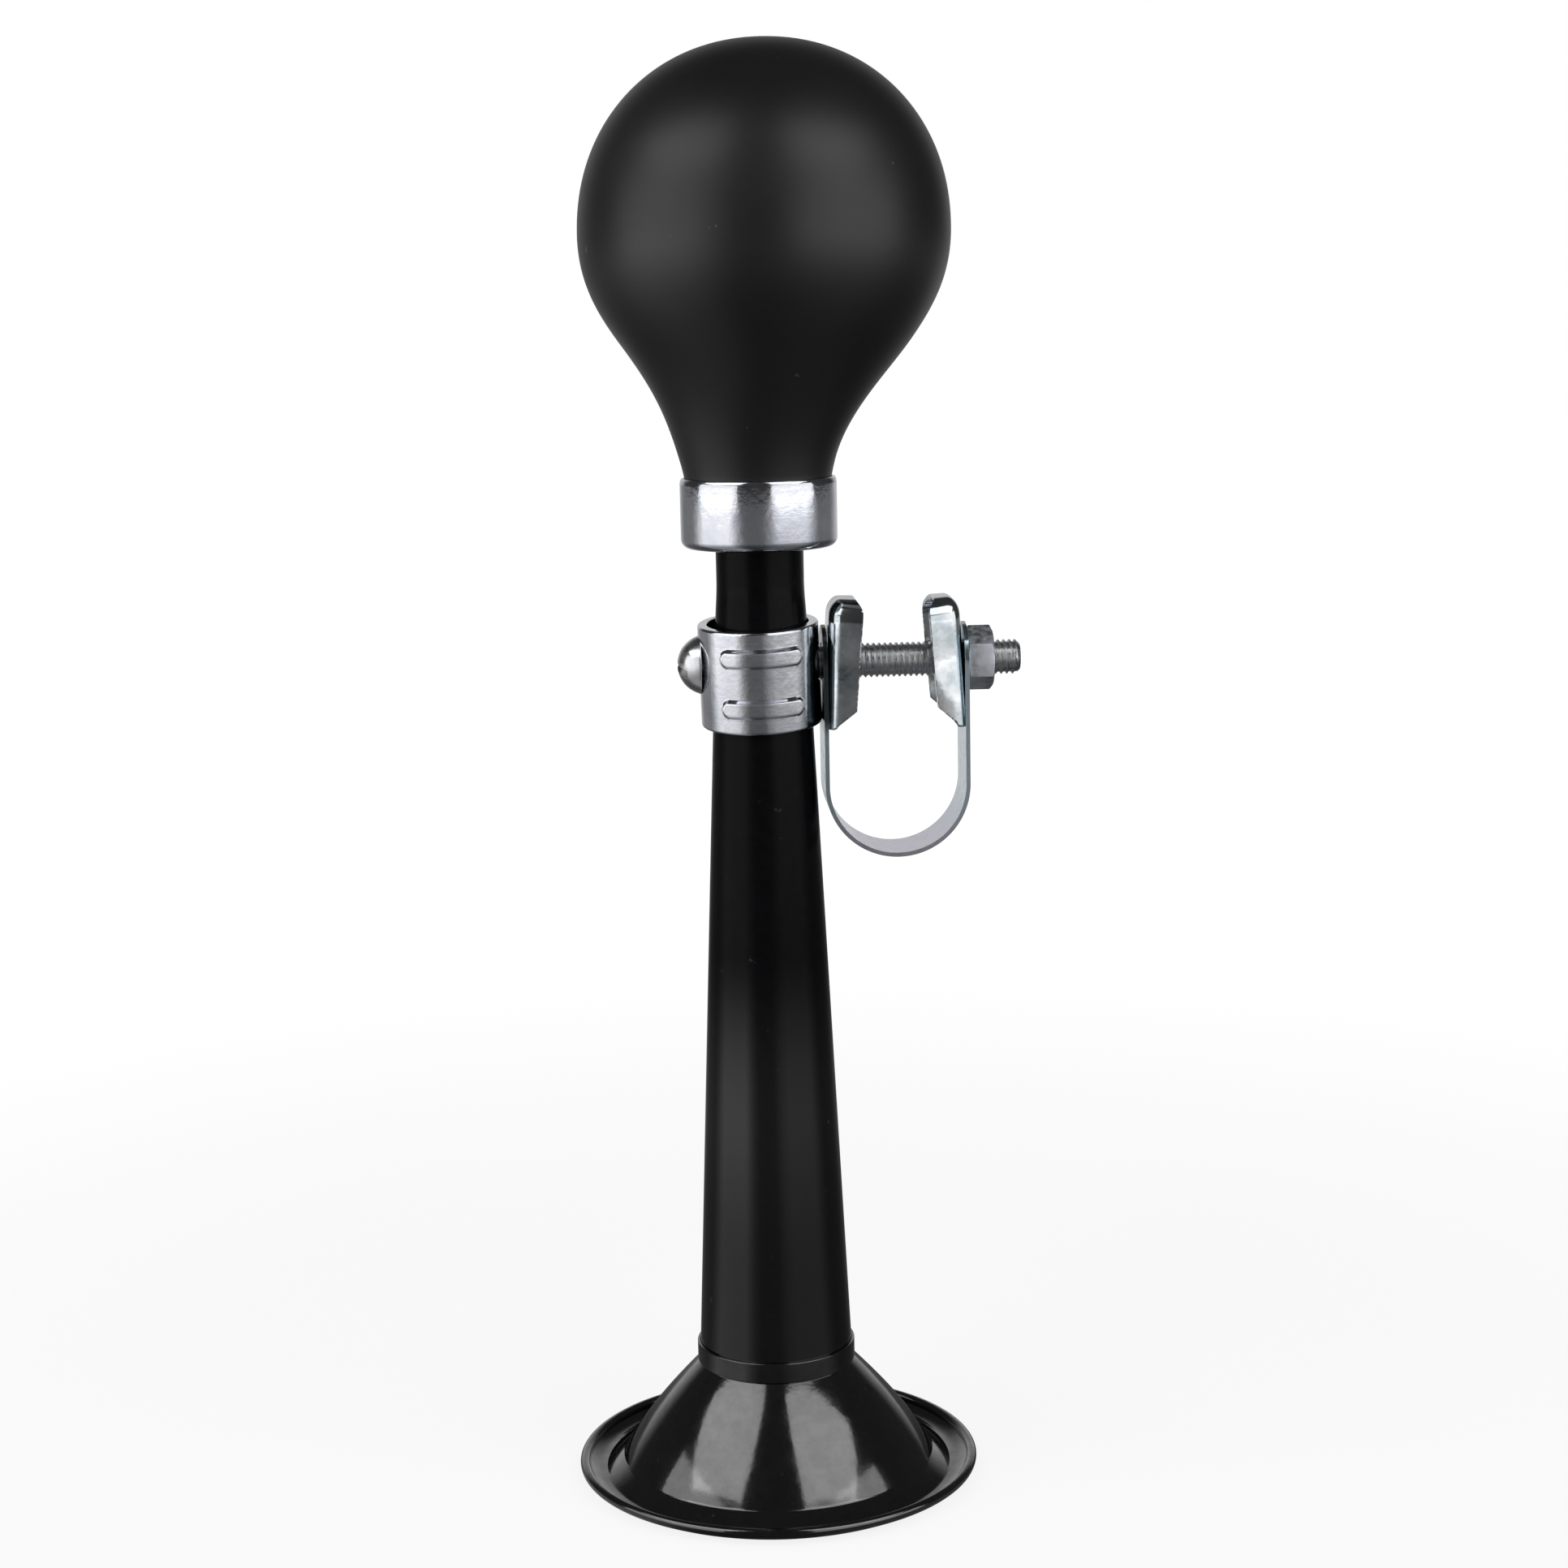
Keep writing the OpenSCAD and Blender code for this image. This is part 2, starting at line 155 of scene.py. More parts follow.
# black enamel: a hard gloss with orange peel on the bell, and a softer one on the tube
bellLook = {"colour": (0.0016, 0.0016, 0.002), "shine": 1.0, "coat": 1, "coatIor": 1.75, "coatRoughness": 0.09,
            "peelScale": 330, "peelDepth": 0.06, "hazeScale": 420, "haze": (0.7, 1.0), "dustScale": 1100,
            "smooth": 0.08, "dull": 0.16}
tubeLook = {"colour": (0.003, 0.003, 0.0036), "shine": 0.05, "coat": 0, "coatIor": 1.85, "coatRoughness": 0.12,
            "peelScale": 420, "peelDepth": 0.012, "dustScale": 700, "smooth": 0.2, "dull": 0.34,
            "polished": (0.05, 1.0), "plain": (0.079, 0.03)}  # height in metres, and how much coat
dustLook = {"film": (0.006, 0.006, 0.007), "fleck": (0.04, 0.04, 0.045), "cloudScale": 260}


def makeEnamel(name, look):
    material, shader, place = newFinish(name, look)
    shader.inputs["Specular IOR Level"].default_value = look["shine"]
    shader.inputs["Coat IOR"].default_value = look["coatIor"]
    if "polished" in look:  # the tube is rubbed brighter near the bell than under the clamp
        (low, coat), (high, thinCoat) = look["polished"], look["plain"]
        height = splitOn(material, place.outputs["Object"])["Z"]
        link(material, fadeOn(material, height, low, high, coat, thinCoat), shader.inputs["Coat Weight"])
    if "haze" in look:
        haze = noiseOn(material, place, look["hazeScale"], 6, 0.65)
        link(material, rampOn(material, haze, [(0.38, look["haze"][0]), (0.62, look["haze"][1])]),
             shader.inputs["Coat Weight"])
    peel = noiseOn(material, place, look["peelScale"], 3, 0.6)
    bumpOn(material, shader, peel, 0.6, look["peelDepth"])
    cloud = noiseOn(material, place, dustLook["cloudScale"], 6, 0.7)
    link(material, rampOn(material, cloud, [(0.35, look["smooth"]), (0.7, look["dull"])]), shader.inputs["Roughness"])
    dust = noiseOn(material, place, look["dustScale"], 2, 0.5)
    link(material, rampOn(material, dust, [(0.0, look["colour"]), (0.73, dustLook["film"]),
                                           (0.79, dustLook["fleck"])]), shader.inputs["Base Color"])
    return material


# moulded rubber: satin, with faint clouds, a few pale specks and fine scratches
rubberLook = {"colour": (0.0085, 0.0085, 0.0095), "otherColour": (0.0115, 0.0114, 0.0126), "shine": 0.68,
              "cloudScale": 42, "smooth": 0.37, "dull": 0.44, "grainScale": 5200, "grainDepth": 0.012,
              "speckScale": 310, "speck": (0.09, 0.09, 0.095), "scratchStretch": (60, 900, 220), "scratchDepth": 0.6}


def makeRubber():
    material, shader, place = newFinish("bulbRubber", rubberLook)
    shader.inputs["Specular IOR Level"].default_value = rubberLook["shine"]
    cloud = noiseOn(material, place, rubberLook["cloudScale"], 5, 0.6)
    shade = rampOn(material, cloud, [(0.3, rubberLook["colour"]), (0.7, rubberLook["otherColour"])])
    speck = rampOn(material, noiseOn(material, place, rubberLook["speckScale"], 3, 0.55),
                   [(0.745, 0.0), (0.765, 1.0)])
    link(material, mixOn(material, speck, shade, rubberLook["speck"]), shader.inputs["Base Color"])
    link(material, rampOn(material, cloud, [(0.3, rubberLook["smooth"]), (0.7, rubberLook["dull"])]),
         shader.inputs["Roughness"])
    grain = noiseOn(material, place, rubberLook["grainScale"], 2, 0.5)
    scratch = rampOn(material, noiseOn(material, place, 1, 3, 0.4, rubberLook["scratchStretch"]),
                     [(0.66, 0.0), (0.69, 1.0)])
    height = mathOn(material, "SUBTRACT", grain, mathOn(material, "MULTIPLY", scratch, rubberLook["scratchDepth"]))
    bumpOn(material, shader, height, 0.5, rubberLook["grainDepth"])
    return material


# bright plated steel: mottled reflections, with faint lines along the way it was turned or rolled
def makePlate(name, look):
    material, shader, place = newFinish(name, look)
    mottle = noiseOn(material, place, look["mottleScale"], look.get("grain", 3), 0.55)
    lines = noiseOn(material, place, 1, 3, 0.5, look["lines"])
    height = mathOn(material, "ADD", mathOn(material, "MULTIPLY", mottle, look["mottle"]),
                    mathOn(material, "MULTIPLY", lines, look["lineDepth"]))
    bumpOn(material, shader, height, 0.5, 0.05)
    link(material, rampOn(material, mottle, [(0.3, look["roughness"] * 0.7), (0.75, look["roughness"] * 1.7)]),
         shader.inputs["Roughness"])
    tint = rampOn(material, noiseOn(material, place, look["tintScale"], look.get("tintDetail", 2), 0.6),
                  [(0.35, look["colour"]), (0.65, look["otherColour"])])
    if "loop" in look:  # the strap is tinted at its loop, and painted shade darkens it where it lies in the shadowed gap between collar and jaw
        place = splitOn(material, place.outputs["Object"])
        tint = mixOn(material, fadeOn(material, place["Z"], *look["loopHeights"]), tint, look["loop"])
        # painted shade: the plating goes dark on the strap's legs in the shadow between collar and jaw
        paintedShadeMask = mathOn(material, "MULTIPLY", fadeOn(material, place["Z"], *look["paintedShadeHeights"]),
                         fadeOn(material, place["X"], *look["paintedShadeSides"]))
        tint = mixOn(material, paintedShadeMask, tint, look["paintedShade"])
    link(material, tint, shader.inputs["Base Color"])
    return material


chromeLook = {"colour": (0.80, 0.80, 0.85), "otherColour": (0.66, 0.69, 0.77), "metallic": 1, "roughness": 0.1,
              "mottleScale": 900, "mottle": 1.1, "grain": 5, "lines": (40, 40, 2600), "lineDepth": 0.18,
              "tintScale": 260, "tintDetail": 4}
# the collar's plate is a lighter copy of the chrome: a painted highlight for the brighter reflections on the collar
collarLook = {**chromeLook, "colour": (0.95, 0.95, 1.0), "otherColour": (0.80, 0.83, 0.90)}
jawLook = {"colour": (0.86, 0.88, 0.90), "otherColour": (0.50, 0.57, 0.61), "metallic": 1, "roughness": 0.11,
           "mottleScale": 420, "mottle": 1.5, "grain": 2, "lines": (1400, 60, 60), "lineDepth": 0.1, "tintScale": 300,
           "tintDetail": 5}
# the strap's paintedShade colour, heights and sides are a painted shadow on its legs between collar and jaw
strapLook = {"colour": (0.68, 0.82, 0.88), "otherColour": (0.72, 0.82, 0.90), "metallic": 1, "roughness": 0.16,
             "mottleScale": 800, "mottle": 0.5, "lines": (60, 2200, 60), "lineDepth": 0.2, "tintScale": 60,
             "loop": (0.82, 0.80, 0.92), "loopHeights": (0.099, 0.093), "paintedShade": (0.10, 0.12, 0.13),
             "paintedShadeHeights": (0.1085, 0.1115), "paintedShadeSides": (0.013, 0.011)}
boltLook = {"colour": (0.84, 0.85, 0.86), "otherColour": (0.72, 0.73, 0.74), "metallic": 1, "roughness": 0.28,
            "mottleScale": 1400, "mottle": 0.5, "lines": (2400, 80, 80), "lineDepth": 0.1, "tintScale": 300}
# the head's plate is a lighter copy of the bolt's steel: a painted highlight that brightens the dark reflections on
# its dome
headLook = {"colour": (0.90, 0.90, 0.91), "otherColour": (0.74, 0.75, 0.77), "metallic": 1, "roughness": 0.22,
            "mottleScale": 600, "mottle": 0.4, "lines": (80, 80, 80), "lineDepth": 0.1, "tintScale": 300}
nutLook = {"colour": (0.90, 0.91, 0.93), "otherColour": (0.72, 0.75, 0.82), "metallic": 1, "roughness": 0.46,
           "mottleScale": 900, "mottle": 0.8, "lines": (2000, 80, 80), "lineDepth": 0.15, "tintScale": 160}
brassLook = {"colour": (0.80, 0.58, 0.26), "otherColour": (0.70, 0.48, 0.22), "metallic": 1, "roughness": 0.3,
             "mottleScale": 900, "mottle": 0.4, "lines": (60, 60, 3000), "lineDepth": 0.3, "tintScale": 200}

finishes = {"bell": makeEnamel("bellEnamel", bellLook), "tube": makeEnamel("tubeEnamel", tubeLook),
            "rubber": makeRubber(), "chrome": makePlate("chromePlate", chromeLook),
            "collar": makePlate("collarPlate", collarLook),
            "head": makePlate("headPlate", headLook),
            "jaw": makePlate("jawPlate", jawLook), "strap": makePlate("strapPlate", strapLook),
            "bolt": makePlate("boltPlate", boltLook), "nut": makePlate("nutPlate", nutLook),
            "brass": makePlate("reedBrass", brassLook)}
print("finishes made:", len(finishes))


# an object from a bmesh, smooth except at edges sharper than the given angle
def newPiece(name, bm, finish, sharp=35):
    mesh = bpy.data.meshes.new(name)
    bm.to_mesh(mesh)
    bm.free()
    mesh.polygons.foreach_set("use_smooth", [True] * len(mesh.polygons))
    mesh.set_sharp_from_angle(angle=radians(sharp))
    mesh.materials.append(finishes[finish])
    piece = bpy.data.objects.new(name, mesh)
    scene.collection.objects.link(piece)
    return piece


# modifiers made part of the mesh, without the slivers that they leave
def applied(piece):
    bpy.context.view_layer.update()
    shape = bpy.data.meshes.new_from_object(piece.evaluated_get(bpy.context.evaluated_depsgraph_get()))
    bm = bmesh.new()
    bm.from_mesh(shape)
    bmesh.ops.remove_doubles(bm, verts=bm.verts[:], dist=0.002 * mm)
    bmesh.ops.dissolve_degenerate(bm, edges=bm.edges[:], dist=0.002 * mm)
    bm.to_mesh(shape)
    bm.free()
    piece.modifiers.clear()
    piece.data = shape
    return piece


def carve(piece, cutter, operation="DIFFERENCE"):
    cut = piece.modifiers.new("cut", "BOOLEAN")
    cut.operation, cut.solver, cut.object = operation, "EXACT", cutter
    applied(piece)
    bpy.data.objects.remove(cutter)
    return piece


# small round edges wherever two faces meet at more than the given angle
def softened(piece, width, angle):
    soft = piece.modifiers.new("edges", "BEVEL")
    soft.width, soft.segments, soft.limit_method, soft.angle_limit = width * mm, 2, "ANGLE", radians(angle)
    return applied(piece)


# the mesh of a piece, to go on working on it; the piece itself goes
def taken(piece):
    bm = bmesh.new()
    bm.from_mesh(piece.data)
    bpy.data.objects.remove(piece)
    return bm


def turnedBy(bm, degrees, axis, middle=(0, 0, 0)):
    bmesh.ops.rotate(bm, cent=middle, matrix=Matrix.Rotation(radians(degrees), 3, axis), verts=bm.verts[:])


def movedBy(bm, x=0, z=0):
    bmesh.ops.translate(bm, vec=(x * mm, 0, z * mm), verts=bm.verts[:])


# a round rod along Z, which cuts the bores
def rod(radius, length):
    bm = bmesh.new()
    bmesh.ops.create_cone(bm, cap_ends=True, segments=64, radius1=radius * mm, radius2=radius * mm, depth=length * mm)
    return bm


# the bolt's hole through a piece, at the bolt's own height unless another is given
def bored(piece, height=heights["bolt"], length=80):
    bore = rod(boreRadius, length)
    turnedBy(bore, 90, "Y")
    movedBy(bore, z=height)
    carve(piece, newPiece("boltBore", bore, "bolt"))
    piece.data.set_sharp_from_angle(angle=radians(35))
    return piece


# a round bmesh about the Z axis from its outline of (radius, height, optional rounding), in millimetres
def turned(outline, steps=160, closed=True):
    bm = bmesh.new()
    corners = [bm.verts.new((point[0] * mm, 0, point[1] * mm)) for point in outline]
    for first, second in zip(corners, corners[1:] + (corners[:1] if closed else [])):
        bm.edges.new((first, second))
    rounds = {}
    for corner, point in zip(corners, outline):
        if len(point) > 2:
            rounds.setdefault(point[2], []).append(corner)
    for size, group in rounds.items():
        bmesh.ops.bevel(bm, geom=group, offset=size * mm, segments=6, profile=0.5, affect="VERTICES", material=-1)
    bmesh.ops.spin(bm, geom=bm.verts[:] + bm.edges[:], cent=(0, 0, 0), axis=(0, 0, 1), dvec=(0, 0, 0),
                   angle=2 * pi, steps=steps, use_merge=True)
    bmesh.ops.remove_doubles(bm, verts=bm.verts[:], dist=0.002 * mm)
    bmesh.ops.recalc_face_normals(bm, faces=bm.faces[:])
    return bm


def curve(start, pull, otherPull, end, points):
    knots = [Vector((p[0], p[1], 0)) for p in (start, pull, otherPull, end)]
    return [(p.x, p.y) for p in interpolate_bezier(*knots, points)]


# the same line moved sideways, to the right of the way it runs
def beside(line, distance):
    moved = []
    for index, point in enumerate(line):
        before, after = line[max(index - 1, 0)], line[min(index + 1, len(line) - 1)]
        run = Vector((after[0] - before[0], after[1] - before[1])).normalized()
        moved.append((point[0] + run.y * distance, point[1] - run.x * distance))
    return moved


# bell: socket, flare, dished brim and the bead rolled into its edge
bellShape = {"rim": 29.1, "sheet": 0.6, "bead": 0.75, "bend": 2.85, "turn": 60, "flat": 1.4,
             "shoulder": (11.27, 16.7), "knee": (23.63, 4.0), "late": 2, "crease": 2.5, "skirt": 0.75,
             "fillet": 0.35, "socket": (11.03, 11.45)}


def makeBell():
    shape = bellShape
    turn, half = radians(shape["turn"]), shape["sheet"] / 2
    bendX = shape["rim"] - shape["bead"] - shape["bend"] * sin(turn)
    bendZ = shape["bend"] + half
    brim = bendX - shape["flat"]
    flare = curve(shape["shoulder"], shape["knee"], (brim - shape["late"], shape["sheet"]),
                  (brim, shape["sheet"]), 48)
    crease = next(i for i, point in enumerate(flare) if point[1] < shape["crease"])
    (beforeX, beforeZ), (x, z) = flare[crease - 1:crease + 1]
    steep = Vector((x - beforeX, z - beforeZ)).normalized() * shape["fillet"]
    skirt = Vector((brim + shape["skirt"] - x, shape["sheet"] - z)).normalized() * shape["fillet"]
    flare = flare[:crease] + curve((x - steep.x, z - steep.y), (x, z), (x, z), (x + skirt.x, z + skirt.y), 8)
    foot = (brim + shape["skirt"], shape["sheet"])
    flare += curve((foot[0] - skirt.x, foot[1] - skirt.y), foot, foot, (foot[0] + shape["fillet"], foot[1]), 8)
    under = beside(flare, shape["sheet"])
    share = 1 - shape["bead"] / (shape["bend"] * turn)

    def bendAt(radius, part):
        return (bendX + radius * sin(part * turn), bendZ - radius * cos(part * turn))
    upper = [bendAt(shape["bend"] - half, share * i / 10) for i in range(11)]
    lower = [bendAt(shape["bend"] + half, share * i / 10) for i in range(10, -1, -1)]
    opening = asin(half / shape["bead"])
    bead = []
    for i in range(31):
        angle = turn + (pi - opening) * (1 - i / 15)
        middle = bendAt(shape["bend"], 1)
        bead.append((middle[0] + shape["bead"] * cos(angle), middle[1] + shape["bead"] * sin(angle)))
    inner, outer = shape["socket"]
    socket = [(inner, heights["tubeFoot"]), (inner, heights["socketTop"], 0.12), (outer, heights["socketTop"], 0.14),
              (outer, shape["shoulder"][1] + 0.18, 0.1)]
    outline = socket + flare + upper + bead + lower + under[::-1]
    outline.append((shape["shoulder"][0] - shape["sheet"], heights["tubeFoot"]))
    return newPiece("bellHorn", turned(outline, 256), "bell", 40)


# tube: one tapered wall with a short cone up to the neck
tubeShape = {"low": 11, "high": 6.42, "neck": 6.15, "wall": 0.6, "lip": 7.6, "taperFoot": 20.2}


def makeTube():
    shape = tubeShape
    foot, wall = heights["tubeFoot"] + 0.03, shape["wall"]
    outline = [(shape["low"], foot), (shape["low"], shape["taperFoot"], 0.3),
               (shape["high"], heights["taperTop"], 1.2), (shape["neck"], heights["neck"], 1.2),
               (shape["neck"], heights["floorTop"]), (shape["lip"], heights["floorTop"]),
               (shape["lip"], heights["tubeTop"]), (shape["neck"] - wall, heights["tubeTop"]),
               (shape["neck"] - wall, heights["neck"], 1.2), (shape["high"] - wall, heights["taperTop"], 1.2),
               (shape["low"] - wall, shape["taperFoot"], 0.3), (shape["low"] - wall, foot)]
    return bored(newPiece("hornTube", turned(outline, 192), "tube"))


# cup that grips the rubber, with a rolled lower edge and a lip pressed in at its top
ferruleShape = {"radius": 10.95, "wall": 0.65, "edge": 1.25, "bore": 6.18}


def makeFerrule():
    shape = ferruleShape
    low, top, floor = heights["ferruleBottom"], heights["ferruleTop"], heights["floorTop"]
    outline = [(shape["bore"], low, 0.2), (shape["radius"], low, shape["edge"]), (shape["radius"], top - 0.45, 0.35),
               (shape["radius"] - 0.28, top, 0.12), (shape["radius"] - 0.62, top, 0.1),
               (shape["radius"] - shape["wall"], floor), (shape["bore"], floor)]
    return newPiece("bulbFerrule", turned(outline, 192), "chrome")


# bulb: one hollow moulding with a squarish crown and a drawn-in neck
bulbShape = {"radius": 25.65, "crown": 26, "power": 2.1, "belly": 14.1, "neckPull": 15.3, "lean": 3,
             "neck": 10.27, "bore": 7.03, "wall": 2.6, "bendLow": 147.5, "bendHigh": 164, "sideways": 1.45,
             "tilt": 0.006}


def makeBulb():
    shape = bulbShape
    middle, cup = heights["bulbMiddle"], heights["ferruleTop"]

    def side(neck, wall):
        belly = curve((neck, cup), (neck + shape["lean"], cup + shape["neckPull"]),
                      (shape["radius"] - wall, middle - shape["belly"]), (shape["radius"] - wall, middle), 56)
        crown = []
        for i in range(1, 41):
            rise = sin(pi / 2 * i / 40)
            wide = max(0, 1 - rise ** shape["power"]) ** (1 / shape["power"]) if i < 40 else 0
            crown.append(((shape["radius"] - wall) * wide, middle + (shape["crown"] - wall) * rise))
        return belly + crown
    inside = side(shape["bore"], shape["wall"])
    outline = [(shape["bore"], heights["flangeTop"]), (shape["neck"], heights["flangeTop"])] + \
        side(shape["neck"], 0)
    bm = turned(outline + inside[::-1], 192)
    for vert in bm.verts:  # the soft neck lets the bulb sit a little to the clamp's side
        height = vert.co.z / mm
        part = min(1, max(0, (height - shape["bendLow"]) / (shape["bendHigh"] - shape["bendLow"])))
        tilt = shape["tilt"] * max(0, height - shape["bendHigh"])
        vert.co.x += (shape["sideways"] * part * part * (3 - 2 * part) + tilt) * mm
    return newPiece("squeezeBulb", bm, "rubber", 50)


# collar round the tube, with two pressed ribs on its front and two on its back
collarShape = {"radius": 8.5, "height": 14.5, "edge": 0.3, "rib": 0.6, "ribHalf": 1.4, "shoulder": 0.5,
               "ribOffset": 3.55, "ribAngle": 42, "boreTop": 7.15, "boreLow": 7.8, "nod": 4.4, "lean": -1.5,
               "aside": -0.35, "inner": 0.15, "outer": 0.36}


def makeCollar():
    shape = collarShape
    low, top = heights["collar"] - shape["height"] / 2, heights["collar"] + shape["height"] / 2
    rows = [(shape["radius"], low + shape["edge"] + (top - low - 2 * shape["edge"]) * i / 96) for i in range(97)]
    outline = [(shape["boreTop"], top, shape["inner"]), (shape["boreLow"], low, shape["inner"]),
               (shape["radius"], low, shape["outer"])] + rows[1:-1] + [(shape["radius"], top, shape["outer"])]
    bm = turned(outline, 288)
    reach = radians(shape["ribAngle"]) - asin(shape["ribHalf"] / shape["radius"])
    for vert in bm.verts:
        radius = sqrt(vert.co.x ** 2 + vert.co.y ** 2) / mm
        if radius < shape["radius"] - 0.05:  # its rims and its bore stay round
            continue
        turn = abs(atan2(vert.co.x, abs(vert.co.y)))
        along = max(0, turn - reach) * shape["radius"]
        across = abs(abs(vert.co.z / mm - heights["collar"]) - shape["ribOffset"])
        rise = min(1, max(0, (shape["ribHalf"] - sqrt(along ** 2 + across ** 2)) / shape["shoulder"]))
        push = 1 + shape["rib"] * rise * rise * (3 - 2 * rise) / radius
        vert.co.x, vert.co.y = vert.co.x * push, vert.co.y * push
    for angle, axis in ((shape["nod"], "X"), (shape["lean"], "Y")):
        turnedBy(bm, angle, axis, (0, 0, heights["bolt"] * mm))
    movedBy(bm, x=shape["aside"])
    return bored(newPiece("tubeCollar", bm, "collar", 50))


# jaw: a pressed shell with round shoulders and full flanks, open towards the handlebar, cut slanting at its foot
jawShape = {"width": 11, "half": 9.1, "sheet": 0.9, "edge": 2.2, "corner": 3.1, "cut": 3.3, "foot": 1,
            "drawnBack": 0.22, "drawnLength": 1.7, "bow": 0.1, "draftHeights": (-6, 1),
            "waist": 0.09, "waistMiddle": 0.6, "waistLength": 2.6, "waistRise": 1.5}
jawSides = {"innerJaw": {"facing": 1, "place": 9.0, "depth": 4.8, "taper": 0.16, "draft": (7, 6), "splay": 2.2},
            "outerJaw": {"facing": -1, "place": 28.1, "depth": 4.4, "taper": 0.05, "draft": (10, 0), "splay": 3.4}}


def makeJaw(name):
    shape, own = jawShape, jawSides[name]
    side, top, edge, depth = shape["width"] / 2, shape["half"], shape["edge"], own["depth"]

    def narrowed(x, z):
        wave = exp(-((z - shape["waistMiddle"]) / shape["waistLength"]) ** 2)
        return shape["waist"] * wave * min(1, x / shape["waistRise"])

    # how far the flank lies inside the jaw's full width, when it opens by the draft angle
    def flank(x, draft):
        slope, bow = tan(radians(draft)), shape["bow"] / (depth - edge)
        start = edge * (1 - sin(atan(slope + shape["bow"])))
        straight = slope * (depth - max(x, start)) + bow / 2 * (depth - max(x, start)) ** 2
        if x >= start:
            return straight
        return straight + sqrt(edge ** 2 - (edge - start) ** 2) - sqrt(max(0, edge ** 2 - (edge - x) ** 2))
    (lowDraft, highDraft), (topDraft, footDraft) = shape["draftHeights"], own["draft"]
    depths = [edge * (1 - cos(pi / 2 * i / 12)) for i in range(13)]
    depths += [edge + (depth - edge) * i / 12 for i in range(1, 13)]
    bm = bmesh.new()
    rows = []
    for x in depths:
        inward = edge - sqrt(max(0, edge ** 2 - max(0, edge - x) ** 2))
        wide, high, corner = side - inward, top - inward, shape["corner"] - inward
        line = [(wide, -top + (top + high - corner) * i / 40) for i in range(40)]
        line += [(wide - corner + corner * cos(pi / 2 * i / 16), high - corner + corner * sin(pi / 2 * i / 16))
                 for i in range(17)]
        line += [((wide - corner) * (1 - i / 10), high) for i in range(1, 11)]
        row = []
        for y, z in line + [(-y, z) for y, z in line[-2::-1]]:
            above = min(1, max(0, (z - lowDraft) / (highDraft - lowDraft)))
            draft = footDraft + (topDraft - footDraft) * above * above * (3 - 2 * above)
            y *= (side - flank(x, draft) - narrowed(x, z)) / wide
            drawn = max(0, z - top + shape["drawnLength"]) / shape["drawnLength"]
            reach = 1 - shape["drawnBack"] * drawn ** 1.5 - own["taper"] * (top - z) / (2 * top)
            row.append(bm.verts.new((x * reach * mm, -y * mm, z * mm)))
        rows.append(row)
    for low, high in zip(rows, rows[1:]):
        for i in range(len(row) - 1):
            bm.faces.new((low[i], low[i + 1], high[i + 1], high[i]))
    bm.faces.new(rows[0])
    slope = shape["cut"] / (depth - shape["foot"])
    bmesh.ops.bisect_plane(bm, geom=bm.verts[:] + bm.edges[:] + bm.faces[:], dist=1e-7, clear_inner=True,
                           plane_co=(shape["foot"] * mm, 0, -shape["half"] * mm), plane_no=(-slope, 0, 1))
    bmesh.ops.recalc_face_normals(bm, faces=bm.faces[:])
    if sum(f.normal.x * f.calc_area() for f in bm.faces) > 0:
        bmesh.ops.reverse_faces(bm, faces=bm.faces[:])
    bmesh.ops.solidify(bm, geom=bm.faces[:], thickness=shape["sheet"] * mm)
    turnedBy(bm, own["splay"], "Y")
    bm = taken(bored(newPiece("jawShell", bm, "jaw"), 0, 6))
    if own["facing"] < 0:
        bmesh.ops.scale(bm, vec=(-1, 1, 1), verts=bm.verts[:])
        bmesh.ops.reverse_faces(bm, faces=bm.faces[:])
    movedBy(bm, own["place"], heights["bolt"])
    return softened(newPiece(name, bm, "jaw"), 0.12, 50)


# strap: one thin strip from the inner leg round the bar and up the outer leg
strapShape = {"sheet": 0.6, "width": 10.4, "inner": 8.65, "outer": 28.45, "loopMiddle": 101.85}


def makeStrap():
    shape = strapShape
    half = shape["width"] / 2
    top, loop = heights["bolt"] + half, shape["loopMiddle"]
    loopRadius = (shape["outer"] - shape["inner"]) / 2
    leg = top - loop
    length = 2 * leg + pi * loopRadius
    bm = bmesh.new()
    bmesh.ops.create_grid(bm, x_segments=150, y_segments=10, size=0.5)
    for vert in bm.verts:
        along, across = (vert.co.x + 0.5) * length, vert.co.y * shape["width"]
        fromEnd = min(along, length - along)
        if fromEnd < half:
            across *= sqrt(max(0, 1 - ((half - fromEnd) / half) ** 2))
        if along < leg:
            x, z = shape["inner"], top - along
        elif along < length - leg:
            turn = (along - leg) / loopRadius
            x, z = shape["inner"] + loopRadius * (1 - cos(turn)), loop - loopRadius * sin(turn)
        else:
            x, z = shape["outer"], top - (length - along)
        vert.co = Vector((x, across, z)) * mm
    bmesh.ops.remove_doubles(bm, verts=bm.verts[:], dist=0.01 * mm)
    bmesh.ops.recalc_face_normals(bm, faces=bm.faces[:])
    strap = newPiece("handlebarStrap", bm, "strap")
    thick = strap.modifiers.new("sheet", "SOLIDIFY")
    thick.thickness, thick.offset = shape["sheet"] * mm, 0
    return softened(bored(applied(strap)), 0.12, 40)


# bolt: round slotted head on a screw threaded along its whole length
boltShape = {"head": 4.15, "headHeight": 3.3, "headEdge": 0.12, "slot": 1.1, "slotDepth": 1.3, "slotTurn": -21,
             "start": -8.6, "end": 36.4, "crest": 2.45, "root": 2.13, "pitch": 0.8, "tip": 0.6,
             "tooth": (0.1, 0.36, 0.44, 0.7)}


